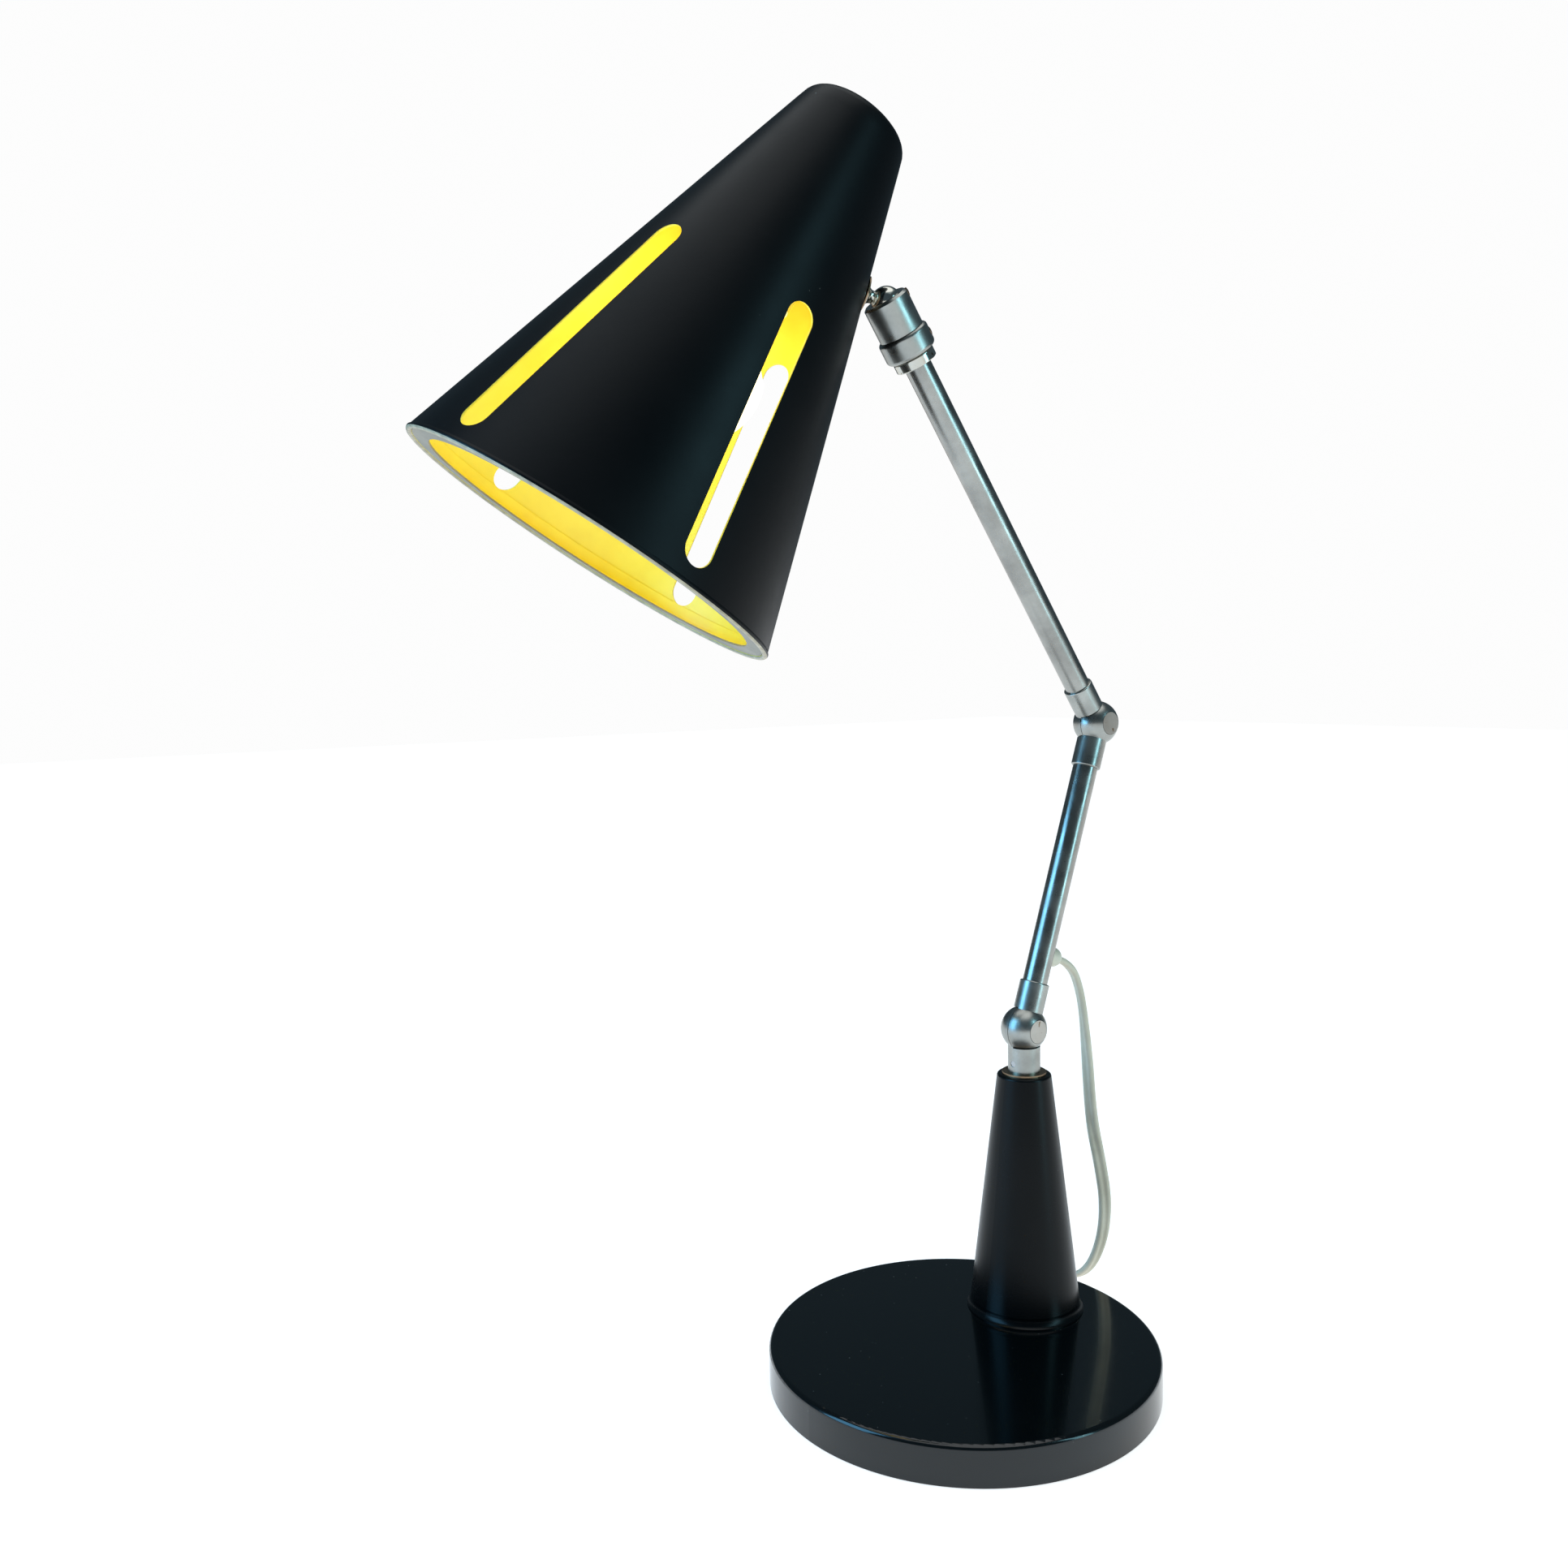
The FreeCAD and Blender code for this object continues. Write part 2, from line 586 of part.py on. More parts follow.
def shade_solid(inset):
    off = inset / math.cos(half_angle)
    bend_r, bend_z, mid_r, mid_z, flat_r, flat_z, dome_r, dome_z, top_z = shade_profile(inset)
    low = 0 if inset == 0 else -1.0
    return turned([
        (0, low), (cone_r(low) - off, low), (bend_r, bend_z),
        ("arc", (mid_r, mid_z), (flat_r, flat_z)),
        ("arc", (dome_r, dome_z), (0, top_z)),
    ])


shade = shade_solid(0).cut(shade_solid(SHADE_WALL))
bead = Part.makeTorus(SHADE_MOUTH_R - RIM_BEAD_R, RIM_BEAD_R, V(0, 0, RIM_BEAD_R))
shade = shade.cut(tube(SHADE_MOUTH_R + 5, SHADE_MOUTH_R - RIM_BEAD_R, -2, RIM_BEAD_R)).fuse(bead)
slot_r = SLOT_W / 2
slot = box(SHADE_CROWN_R, SHADE_MOUTH_R + 10, -slot_r, slot_r, SLOT_LOW + slot_r, SLOT_HIGH - slot_r)
for end in (SLOT_LOW + slot_r, SLOT_HIGH - slot_r):
    slot = slot.fuse(Part.makeCylinder(
        slot_r, SHADE_MOUTH_R + 10 - SHADE_CROWN_R, V(SHADE_CROWN_R, 0, end), V(1, 0, 0)))
slot = slot.removeSplitter()
for turn in SLOT_TURNS:
    cutter = slot.copy()
    cutter.rotate(V(0, 0, 0), V(0, 0, 1), turn)
    shade = shade.cut(cutter)

# The stud stands square to the wall. wall_point is where its axis meets the outer face.
wall_point = V(cone_r(SHADE_BRACKET_AT), 0, SHADE_BRACKET_AT)
outward = V(math.cos(half_angle), 0, math.sin(half_angle))
up_wall = V(-math.sin(half_angle), 0, math.cos(half_angle))


def on_wall(shape):
    """A shape built along the stud's axis from the ball centre, set in the shade's frame."""
    return seat(shape, wall_point + outward * STUD_REACH, outward * -1, up_wall)


shade = shade.cut(on_wall(rod(STUD_SHANK_R + STUD_RUN, STUD_REACH - 3, STUD_REACH + 5)))

ring_out = SHADE_MOUTH_R - 2 * RIM_BEAD_R - RING_GAP
wall_in = SHADE_WALL / math.cos(half_angle) + RING_GAP
ring_low = RIM_BEAD_R - RING_T / 2
skirt_top = ring_low + RING_SKIRT_H
mouth_ring = turned([
    (RING_INNER_R, ring_low), (ring_out, ring_low), (ring_out, ring_low + RING_T),
    (cone_r(skirt_top) - wall_in, skirt_top), (cone_r(skirt_top) - wall_in - RING_T, skirt_top),
    (ring_out - RING_T, ring_low + RING_T), (RING_INNER_R, ring_low + RING_T),
])

pad_top = BRACKET_PAD_UP
pad = box(-BRACKET_PAD_DOWN, pad_top, -BRACKET_W / 2, BRACKET_W / 2, bracket_stand, bracket_stand + BRACKET_T)
pad = on_wall(pad.cut(rod(STUD_SHANK_R + STUD_RUN, 0, BIG)))
pad_end = wall_point + up_wall * pad_top - outward * (bracket_stand + BRACKET_T - STUD_REACH)
plate_top = pad_end.z + BRACKET_T
plate_low = pad_end.z
plate = rod(BRACKET_RING_R, plate_low, plate_top).fuse(
    box(0, pad_end.x + 0.4, -BRACKET_W / 2, BRACKET_W / 2, plate_low, plate_top))
plate = plate.cut(rod(NIPPLE_R, 0, BIG * 10))
bracket = pad.fuse(plate).removeSplitter()

holder_low = plate_low - HOLDER_LEN
holder = rod(HOLDER_R, holder_low, plate_low)
holder = round_rims(holder, plate_low, HOLDER_R, 4.0)
holder = holder.cut(rod(HOLDER_BORE_R, holder_low - 1, holder_low + HOLDER_BORE_DEPTH))
nipple = tube(NIPPLE_R, LEAD_R, plate_low, plate_low + NIPPLE_LEN)
holder_nut = hexagon(HOLDER_NUT_AF, plate_top, plate_top + HOLDER_NUT_T, NIPPLE_R)
ring_z = holder_low + HOLDER_RING_AT
holder_ring = tube(HOLDER_RING_R, HOLDER_R, ring_z, ring_z + HOLDER_RING_T)

cap_top = holder_low + BULB_CAP_LEN
cap = rod(BULB_CAP_R, holder_low - 1.0, cap_top)
cap = round_rims(cap, cap_top, BULB_CAP_R, 3.0)
globe_z = holder_low - 1.0 - (BULB_LEN - BULB_R)


def bulb_body(inset):
    """Solid of the bulb's glass, or of the space in it when inset is the wall."""
    r = BULB_R - inset
    neck_r = BULB_CAP_R - 0.5 - inset
    neck_top = holder_low - 1.0 + (1 if inset else 0)
    return turned([
        (0, neck_top), (neck_r, neck_top), (neck_r, holder_low - 1.0),
        ("arc", (neck_r + (r - neck_r) * 0.28, globe_z + (BULB_LEN - BULB_R) * 0.55), on_globe(r, 22)),
        ("arc", (r, globe_z), on_globe(r, -45)),
        ("arc", on_globe(r, -70), (0, globe_z - r)),
    ]) if inset else turned([
        (0, neck_top), (neck_r, neck_top),
        ("arc", (neck_r + (r - neck_r) * 0.28, globe_z + (BULB_LEN - BULB_R) * 0.55), on_globe(r, 22)),
        ("arc", (r, globe_z), on_globe(r, -45)),
        ("arc", on_globe(r, -70), (0, globe_z - r)),
    ])


def on_globe(r, deg):
    return r * math.cos(math.radians(deg)), globe_z + r * math.sin(math.radians(deg))


bulb = bulb_body(0).cut(bulb_body(BULB_WALL))
lead = on_wall(rod(LEAD_R, stud_end, stud_end + 30)).cut(rod(HOLDER_R, 0, SHADE_CONE_LEN))
lead = max(lead.Solids, key=lambda s: s.CenterOfMass.x)

# The shade hangs on the stud: its wall normal runs down the stud, turned by SHADE_SPIN.
turn_side = stud_side * math.cos(math.radians(SHADE_SPIN)) + stud_dir.cross(stud_side) * math.sin(
    math.radians(SHADE_SPIN))
shade_axis = unit(turn_side * math.cos(half_angle) - stud_dir * math.sin(half_angle))
shade_out = unit(stud_dir * -math.cos(half_angle) - turn_side * math.sin(half_angle))
shade_origin = k3 + stud_dir * STUD_REACH - shade_out * cone_r(SHADE_BRACKET_AT) - shade_axis * SHADE_BRACKET_AT

for name, shape in (
    ("shade_shell", shade), ("mouth_ring", mouth_ring), ("holder_bracket", bracket),
    ("lampholder", holder), ("holder_nipple", nipple), ("holder_nut", holder_nut),
    ("holder_ring", holder_ring), ("bulb_cap", cap), ("bulb_glass", bulb), ("holder_lead", lead),
):
    keep(name, seat(shape, shade_origin, shade_axis, shade_out))

# ---------------------------------------------------------------- flex
cord_r = CORD_D / 2


def route_wire(points, label):
    """Straight runs joined by tangent arcs, each as large as its two runs allow."""
    edges = []
    at = points[0]
    radii = []
    for k in range(1, len(points) - 1):
        a, b, c = points[k - 1], points[k], points[k + 1]
        u, w = unit(b - a), unit(c - b)
        turn = math.acos(max(-1.0, min(1.0, u.dot(w))))
        cut = 0.45 * min((b - a).Length, (c - b).Length)
        radii.append(cut / math.tan(turn / 2))
        p, q = b - u * cut, b + w * cut
        mid_dir = unit(w - u)
        centre = b + mid_dir * math.hypot(cut, radii[-1])
        mid = centre - mid_dir * radii[-1]
        edges.append(Part.LineSegment(at, p).toShape())
        edges.append(Part.Arc(p, mid, q).toShape())
        at = q
    edges.append(Part.LineSegment(at, points[-1]).toShape())
    print(label, "bend radii", [round(r, 1) for r in radii])
    return edges


def sweep(edges, start, direction, label):
    wire = Part.Wire(edges)
    ring_edge = Part.Circle(start, direction, cord_r).toShape()
    solid = wire.makePipeShell([Part.Wire([ring_edge])], True, False)
    solid = Part.Solid(solid) if solid.ShapeType != "Solid" else solid
    want = math.pi * cord_r ** 2 * wire.Length
    print(label, "length", round(wire.Length, 1), "volume ratio", round(solid.Volume / want, 4))
    return solid, wire.Length


exit_point = k1 + lower * BUSH_AT + back * bush_tip
LEAD_POINTS = [
    exit_point,
    exit_point + back * 11.0,
    V(-88.6, STEM_Y - 0.2, 168.0),
    V(-92.4, STEM_Y, 144.0),
    V(-95.0, STEM_Y - 0.4, 120.0),
]
lead_end_dir = unit(LEAD_POINTS[-1] - LEAD_POINTS[-2])
away = V(math.cos(math.radians(VIEW_TURN)), math.sin(math.radians(VIEW_TURN)), 0)
left = V(-away.y, away.x, 0)
hank_outer_r = HANK_INNER_R + HANK_STEP
hank_base = stem_axis + away * HANK_FROM_STEM + UP * cord_r


def hank_at(x, y, z):
    return hank_base + away * x - left * y + UP * z


hank_in = hank_at(0, hank_outer_r, 0)
DROP_POINTS = [
    LEAD_POINTS[-1],
    LEAD_POINTS[-1] + lead_end_dir * 20.0,
    V(-103.6, STEM_Y - 0.6, 77.0),
    V(-109.6, STEM_Y - 1.6, 54.0),
    V(-112.6, -13.5, 31.0),
    V(-112.4, -23.0, 11.0),
    V(-110.6, -38.0, cord_r),
    hank_in - away * 19.0,
    hank_in,
]
edges = route_wire(LEAD_POINTS, "cord_lead")
cord_lead, lead_len = sweep(edges, LEAD_POINTS[0], unit(LEAD_POINTS[1] - LEAD_POINTS[0]), "cord_lead")
keep("cord_lead", cord_lead)
edges = route_wire(DROP_POINTS, "cord_drop")
cord_drop, drop_len = sweep(edges, DROP_POINTS[0], lead_end_dir, "cord_drop")
keep("cord_drop", cord_drop)

# Hank: racetrack loops that spiral in on the floor layer, climb along a run, and spiral out.
wide = hank_outer_r
tight = HANK_INNER_R
hank_edges = []


def run_line(x0, y0, x1, y1, z):
    hank_edges.append(Part.LineSegment(hank_at(x0, y0, z), hank_at(x1, y1, z)).toShape())


def half_turn(x, y0, y1, z, bulge):
    mid = (y0 + y1) / 2
    r = abs(y1 - y0) / 2
    q = r * math.sqrt(0.5)
    s = 1 if y0 > y1 else -1
    a, b = hank_at(x, y0, z), hank_at(x + bulge * r, mid, z)
    c = hank_at(x, y1, z)
    hank_edges.append(Part.Arc(a, hank_at(x + bulge * q, mid + s * q, z), b).toShape())
    hank_edges.append(Part.Arc(b, hank_at(x + bulge * q, mid - s * q, z), c).toShape())


def climb(x0, x1, y, z0, z1):
    """Two equal arcs in the upright plane, level at both ends."""
    dx, dz = x1 - x0, z1 - z0
    radius = (dx * dx + dz * dz) / (4 * abs(dz))
    bend = 2 * math.asin(math.hypot(dx, dz) / 2 / (2 * radius))
    s = 1 if dx > 0 else -1
    qx = radius * math.sin(bend / 2)
    qz = radius * (1 - math.cos(bend / 2))
    a, b, c = hank_at(x0, y, z0), hank_at(x0 + dx / 2, y, z0 + dz / 2), hank_at(x1, y, z1)
    hank_edges.append(Part.Arc(a, hank_at(x0 + s * qx, y, z0 + qz), b).toShape())
    hank_edges.append(Part.Arc(b, hank_at(x1 - s * qx, y, z1 - qz), c).toShape())


top = HANK_STEP
L = HANK_RUN
run_line(0, wide, L, wide, 0)
half_turn(L, wide, -wide, 0, 1)
run_line(L, -wide, 0, -wide, 0)
half_turn(0, -wide, tight, 0, -1)
run_line(0, tight, L, tight, 0)
half_turn(L, tight, -tight, 0, 1)
climb(L, 0, -tight, 0, top)
half_turn(0, -tight, tight, top, -1)
run_line(0, tight, L, tight, top)
half_turn(L, tight, -wide, top, 1)
run_line(L, -wide, 0, -wide, top)
half_turn(0, -wide, wide, top, -1)
run_line(0, wide, L, wide, top)
cord_hank, hank_len = sweep(hank_edges, hank_in, away, "cord_hank")
keep("cord_hank", cord_hank)

samples = []
for e in hank_edges:
    n = max(2, int(e.Length / 3.0))
    for k in range(n):
        samples.append(e.valueAt(e.FirstParameter + (e.LastParameter - e.FirstParameter) * k / n))
station = [0.0]
for a, b in zip(samples, samples[1:]):
    station.append(station[-1] + (b - a).Length)
least = min(
    (samples[i] - samples[j]).Length
    for i in range(len(samples)) for j in range(i + 1, len(samples))
    if station[j] - station[i] > 4 * CORD_D)
print("hank least gap to itself", round(least - CORD_D, 2))

tail_start = hank_at(L, wide, top)
plug_z = PLUG_R - cord_r
TAIL_POINTS = [
    tail_start,
    hank_at(L + 16, wide, top),
    hank_at(L + 34, wide - 8.0, top),
    hank_at(L + 52, wide - 17.0, (top + plug_z) / 2),
    hank_at(L + 70, wide - 20.0, plug_z),
]
edges = route_wire(TAIL_POINTS, "cord_tail")
cord_tail, tail_len = sweep(edges, TAIL_POINTS[0], away, "cord_tail")
print("flex length", round(lead_len + drop_len + hank_len + tail_len, 1))

tie_half = wide + cord_r + TIE_GAP
tie_low, tie_high = -cord_r, top + cord_r + TIE_GAP
tie_out = box(0, TIE_W, -tie_half - TIE_T, tie_half + TIE_T, tie_low, tie_high + TIE_T)
tie_in = box(-1, TIE_W + 1, -tie_half, tie_half, tie_low - 1, tie_high)
band = tie_out.cut(tie_in)
band = seat(band, hank_at(TIE_AT, 0, 0), UP, away)
keep("hank_tie", band)

plug_dir = unit(TAIL_POINTS[-1] - TAIL_POINTS[-2])
plug = turned([
    (0, 0), (PLUG_NOSE_R, 0), (PLUG_NOSE_R + 0.6, 3.0),
    ("arc", (PLUG_R * 0.72, PLUG_LEN * 0.32), (PLUG_R, PLUG_LEN * 0.62)),
    (PLUG_R, PLUG_LEN - 1.5), (PLUG_R - 1.5, PLUG_LEN), (0, PLUG_LEN),
])
plug_flat = unit(V(plug_dir.x, plug_dir.y, 0))
plug_face = Part.makeBox(2 * BIG, 2 * BIG, BIG, V(-BIG, -BIG, 0))
cord_tail = cord_tail.cut(seat(plug_face, TAIL_POINTS[-1], plug_flat, UP))
keep("cord_tail", cord_tail)
keep("plug_body", seat(plug, TAIL_POINTS[-1], plug_flat, UP))
pins = []
for s in (-1, 1):
    pin = rod(PIN_R, PLUG_LEN, PLUG_LEN + PIN_LEN)
    pin = round_rims(pin, PLUG_LEN + PIN_LEN, PIN_R, PIN_R * 0.6)
    pin.translate(V(0, s * PIN_SPACING / 2, 0))
    pins.append(pin)
keep("plug_pins", seat(Part.makeCompound(pins), TAIL_POINTS[-1], plug_flat, UP))

# ---------------------------------------------------------------- write the pieces
os.makedirs("parts", exist_ok=True)
for name, shape in NODES.items():
    shape.exportStep("parts/" + name + ".step")
    if not shape.isValid():
        print("INVALID", name)
print(len(NODES), "nodes")
for label, p in (("k1", k1), ("k2", k2), ("k3", k3), ("shade_origin", shade_origin), ("shade_axis", shade_axis),
                 ("shade_out", shade_out), ("stud_dir", stud_dir), ("exit", exit_point)):
    print(label, [round(c, 3) for c in (p.x, p.y, p.z)])
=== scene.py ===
# %% [markdown]
# # A jointed desk lamp, dressed for its studio picture
# The lamp has a round weighted base, a tapered stem, two tubular arms with knuckles, and a
# slotted shade on a ball joint. The imported CAD model is loaded as a fixed frame. It could be
# rebuilt here by eye, but then nothing would move as the real joints do, so every piece below is
# placed in that frame, in metres; the shade's new pieces hang on an empty for its body.
# %% Load the frame
import bpy
import bmesh
import math
from mathutils import Matrix, Vector


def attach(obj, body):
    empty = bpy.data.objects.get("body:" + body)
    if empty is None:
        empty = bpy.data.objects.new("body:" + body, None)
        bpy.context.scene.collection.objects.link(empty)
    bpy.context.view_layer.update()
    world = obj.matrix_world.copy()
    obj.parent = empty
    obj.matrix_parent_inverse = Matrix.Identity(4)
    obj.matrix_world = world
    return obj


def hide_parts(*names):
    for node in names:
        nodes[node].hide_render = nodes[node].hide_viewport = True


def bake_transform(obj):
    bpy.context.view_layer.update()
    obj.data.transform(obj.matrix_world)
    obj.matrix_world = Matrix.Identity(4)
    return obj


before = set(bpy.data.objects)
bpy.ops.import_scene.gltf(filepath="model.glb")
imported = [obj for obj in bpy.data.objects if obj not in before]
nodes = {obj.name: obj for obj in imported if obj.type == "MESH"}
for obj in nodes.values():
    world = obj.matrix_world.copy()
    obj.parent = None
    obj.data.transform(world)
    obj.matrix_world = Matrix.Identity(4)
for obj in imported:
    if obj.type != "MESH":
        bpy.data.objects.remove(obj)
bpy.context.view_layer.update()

MM = 0.001

# %% [markdown]
# ## Small tools for materials
# A material is a Principled shader with a few texture nodes. An image could carry the same
# detail, but it would need unwrapping; noise in object coordinates needs none and has no seams.
# `shader` makes a material, `noise` adds a texture, `ramp` maps its values, `bump` raises them.
# %% Material tools
def shader(name):
    m = bpy.data.materials.new(name)
    m.use_nodes = True
    nt = m.node_tree
    return m, nt, nt.nodes["Principled BSDF"]


def coords(nt, scale=(1, 1, 1)):
    tc = nt.nodes.new("ShaderNodeTexCoord")
    mp = nt.nodes.new("ShaderNodeMapping")
    mp.inputs["Scale"].default_value = scale
    nt.links.new(tc.outputs["Object"], mp.inputs["Vector"])
    return mp.outputs["Vector"]


def noise(nt, scale, detail=3.0, rough=0.5, stretch=(1, 1, 1)):
    n = nt.nodes.new("ShaderNodeTexNoise")
    n.inputs["Scale"].default_value = scale
    n.inputs["Detail"].default_value = detail
    n.inputs["Roughness"].default_value = rough
    nt.links.new(coords(nt, stretch), n.inputs["Vector"])
    return n.outputs["Fac"]


def ramp(nt, fac, stops):
    r = nt.nodes.new("ShaderNodeValToRGB")
    e = r.color_ramp.elements
    while len(e) < len(stops):
        e.new(0.5)
    for el, (pos, col) in zip(e, stops):
        el.position = pos
        c = (col, col, col) if isinstance(col, (int, float)) else col
        el.color = (c[0], c[1], c[2], 1)
    nt.links.new(fac, r.inputs["Fac"])
    return r.outputs["Color"]


def bump(nt, bsdf, height, strength, distance):
    b = nt.nodes.new("ShaderNodeBump")
    b.inputs["Strength"].default_value = strength
    b.inputs["Distance"].default_value = distance
    nt.links.new(height, b.inputs["Height"])
    nt.links.new(b.outputs["Normal"], bsdf.inputs["Normal"])


def link(nt, out, bsdf, socket):
    nt.links.new(out, bsdf.inputs[socket])


# %% [markdown]
# ## Painted metal
# The base is a deep black lacquer under a clear coat, with a few specks of dust. The stem is the
# same black, a little softer. The shade is a satin black with a fine orange peel. Black paint is
# seen almost only by what it reflects, so the numbers that matter are roughness and specular
# level, and the colour stays close to zero.
# %% Black paints
def black_paint(name, base, rough_low, rough_high, coat, peel, dust, gloss):
    m, nt, b = shader(name)
    smudge = noise(nt, 14, 4, 0.6)
    link(nt, ramp(nt, smudge, [(0.35, rough_low), (0.75, rough_high)]), b, "Roughness")
    speck = noise(nt, 620, 1, 0.4)
    grain = ramp(nt, speck, [(0.0, base), (dust, base), (min(0.99, dust + 0.03), (0.11, 0.11, 0.1))])
    link(nt, grain, b, "Base Color")
    b.inputs["Coat Weight"].default_value = coat
    b.inputs["Coat Roughness"].default_value = 0.04
    b.inputs["Specular IOR Level"].default_value = gloss
    bump(nt, b, noise(nt, 340, 2), peel, 0.0002)
    return m


base_black = black_paint("base_lacquer", (0.0012, 0.0025, 0.003), 0.09, 0.2, 0.2, 0.02, 0.79, 0.4)
stem_black = black_paint("stem_paint", (0.001, 0.0018, 0.0022), 0.24, 0.36, 0.0, 0.05, 0.82, 0.16)
shade_black = black_paint("shade_paint", (0.001, 0.0018, 0.0025), 0.34, 0.46, 0.0, 0.1, 0.84, 0.13)


# %% [markdown]
# The inside of the shade is an enamel painted a strong yellow that is partly painted light: the
# warm colour of the bulb's light is put into the paint, and the real light from the bulb deepens it
# further as it bounces about. The flat ring in the mouth is a pale enamel painted dull grey, which is
# painted shade on a ring that faces down, and the rolled rim shows a worn pale edge. All three are one
# paint with other colours, so one function makes them.
# %% Pale paints
def pale_paint(name, light, dark, rough, scale=60):
    m, nt, b = shader(name)
    link(nt, ramp(nt, noise(nt, scale, 4), [(0.3, dark), (0.7, light)]), b, "Base Color")
    link(nt, ramp(nt, noise(nt, 30, 3), [(0.3, rough * 0.8), (0.7, min(1, rough * 1.25))]), b, "Roughness")
    bump(nt, b, noise(nt, 420, 2), 0.06, 0.0002)
    return m


# Strong yellow, partly painted light: the bulb's warm colour put into the enamel.
inside_enamel_and_painted_light = pale_paint("shade_enamel_and_painted_light", (0.95, 0.83, 0.085), (0.9, 0.74, 0.06), 0.42)
rim_cream = pale_paint("rim_edge", (0.5, 0.44, 0.31), (0.3, 0.26, 0.18), 0.4, 240)
# Dull grey painted shade on the pale ring that faces down out of the light.
ring_painted_shade = pale_paint("ring_enamel_painted_shade", (0.27, 0.25, 0.2), (0.2, 0.185, 0.15), 0.5, 90)


# %% [markdown]
# ## Plated and bare metal
# Satin nickel carries fine lengthwise scratches and cloudy patches. The head's nut and stud are
# brighter, with brown spots where the plating has worn. Stretched noise gives the scratches
# through bump, which is cheaper than modelling them and catches the light in the same way.
# %% Metals
def metal(name, light, dark, rough_low, rough_high, spots=None, scratch=0.05):
    m, nt, b = shader(name)
    b.inputs["Metallic"].default_value = 1.0
    tone = ramp(nt, noise(nt, 55, 5, 0.62), [(0.3, dark), (0.68, light)])
    if spots:
        level, colour = spots
        mix = nt.nodes.new("ShaderNodeMixRGB")
        nt.links.new(ramp(nt, noise(nt, 260, 3), [(level, 0.0), (level + 0.05, 1.0)]), mix.inputs["Fac"])
        nt.links.new(tone, mix.inputs["Color1"])
        mix.inputs["Color2"].default_value = (*colour, 1)
        tone = mix.outputs["Color"]
    link(nt, tone, b, "Base Color")
    link(nt, ramp(nt, noise(nt, 90, 4), [(0.3, rough_low), (0.7, rough_high)]), b, "Roughness")
    bump(nt, b, noise(nt, 900, 2, 0.5, (1, 1, 0.15)), scratch, 0.0001)
    return m


nickel = metal("satin_nickel", (0.42, 0.42, 0.39), (0.27, 0.27, 0.25), 0.24, 0.38)
tube_nickel = metal("tube_nickel", (0.4, 0.39, 0.36), (0.27, 0.26, 0.24), 0.2, 0.32, None, 0.06)
bright = metal("bright_nickel", (0.62, 0.6, 0.54), (0.48, 0.46, 0.4), 0.1, 0.18, (0.66, (0.2, 0.13, 0.07)))
screw_head = metal("screw_steel", (0.46, 0.43, 0.39), (0.34, 0.31, 0.27), 0.25, 0.4,
                   (0.68, (0.2, 0.14, 0.09)))
brown = metal("aged_screw", (0.3, 0.2, 0.13), (0.13, 0.08, 0.05), 0.3, 0.5)
bronze = metal("bronze_washer", (0.42, 0.29, 0.18), (0.25, 0.16, 0.1), 0.28, 0.42)
steel = metal("plain_steel", (0.5, 0.5, 0.5), (0.38, 0.38, 0.38), 0.3, 0.42)
iron = metal("ballast_iron", (0.12, 0.11, 0.1), (0.06, 0.055, 0.05), 0.55, 0.75)
brass = metal("pin_brass", (0.8, 0.6, 0.28), (0.66, 0.47, 0.2), 0.14, 0.26)


# %% [markdown]
# ## Plastics, felt and the lit bulb
# The flex, its bush and the plug are cream plastic, the holder is glazed porcelain, and felt
# covers the base's underside. The bulb is lit: its glass gives off light itself, so that the
# inside of the shade is lit from where the real lamp lights it.
# %% Soft and clear materials
def plastic(name, light, dark, rough, coat=0.0, scale=80):
    m, nt, b = shader(name)
    link(nt, ramp(nt, noise(nt, scale, 4), [(0.3, dark), (0.7, light)]), b, "Base Color")
    link(nt, ramp(nt, noise(nt, 50, 3), [(0.3, rough * 0.85), (0.7, rough * 1.2)]), b, "Roughness")
    b.inputs["Coat Weight"].default_value = coat
    bump(nt, b, noise(nt, 500, 2), 0.08, 0.0002)
    return m


cream = plastic("flex_cream", (0.72, 0.66, 0.52), (0.6, 0.54, 0.41), 0.42)
bush_cream = plastic("bush_cream", (0.74, 0.69, 0.55), (0.6, 0.55, 0.43), 0.36)
plug_cream = plastic("plug_cream", (0.7, 0.64, 0.5), (0.6, 0.54, 0.42), 0.3, 0.3)
porcelain = plastic("holder_white", (0.78, 0.75, 0.66), (0.7, 0.66, 0.57), 0.3, 0.4)
tie_dark = plastic("tie_paper", (0.2, 0.17, 0.13), (0.13, 0.11, 0.08), 0.6)
felt = plastic("felt_green", (0.03, 0.05, 0.035), (0.015, 0.027, 0.02), 0.95, 0.0, 400)

BULB_STRENGTH = 2.8
glass, nt, b = shader("lit_bulb")
glow = ramp(nt, noise(nt, 8, 2), [(0.2, (1.0, 0.82, 0.5)), (0.8, (1.0, 0.87, 0.58))])
link(nt, glow, b, "Base Color")
link(nt, glow, b, "Emission Color")
b.inputs["Roughness"].default_value = 0.3
b.inputs["Emission Strength"].default_value = BULB_STRENGTH

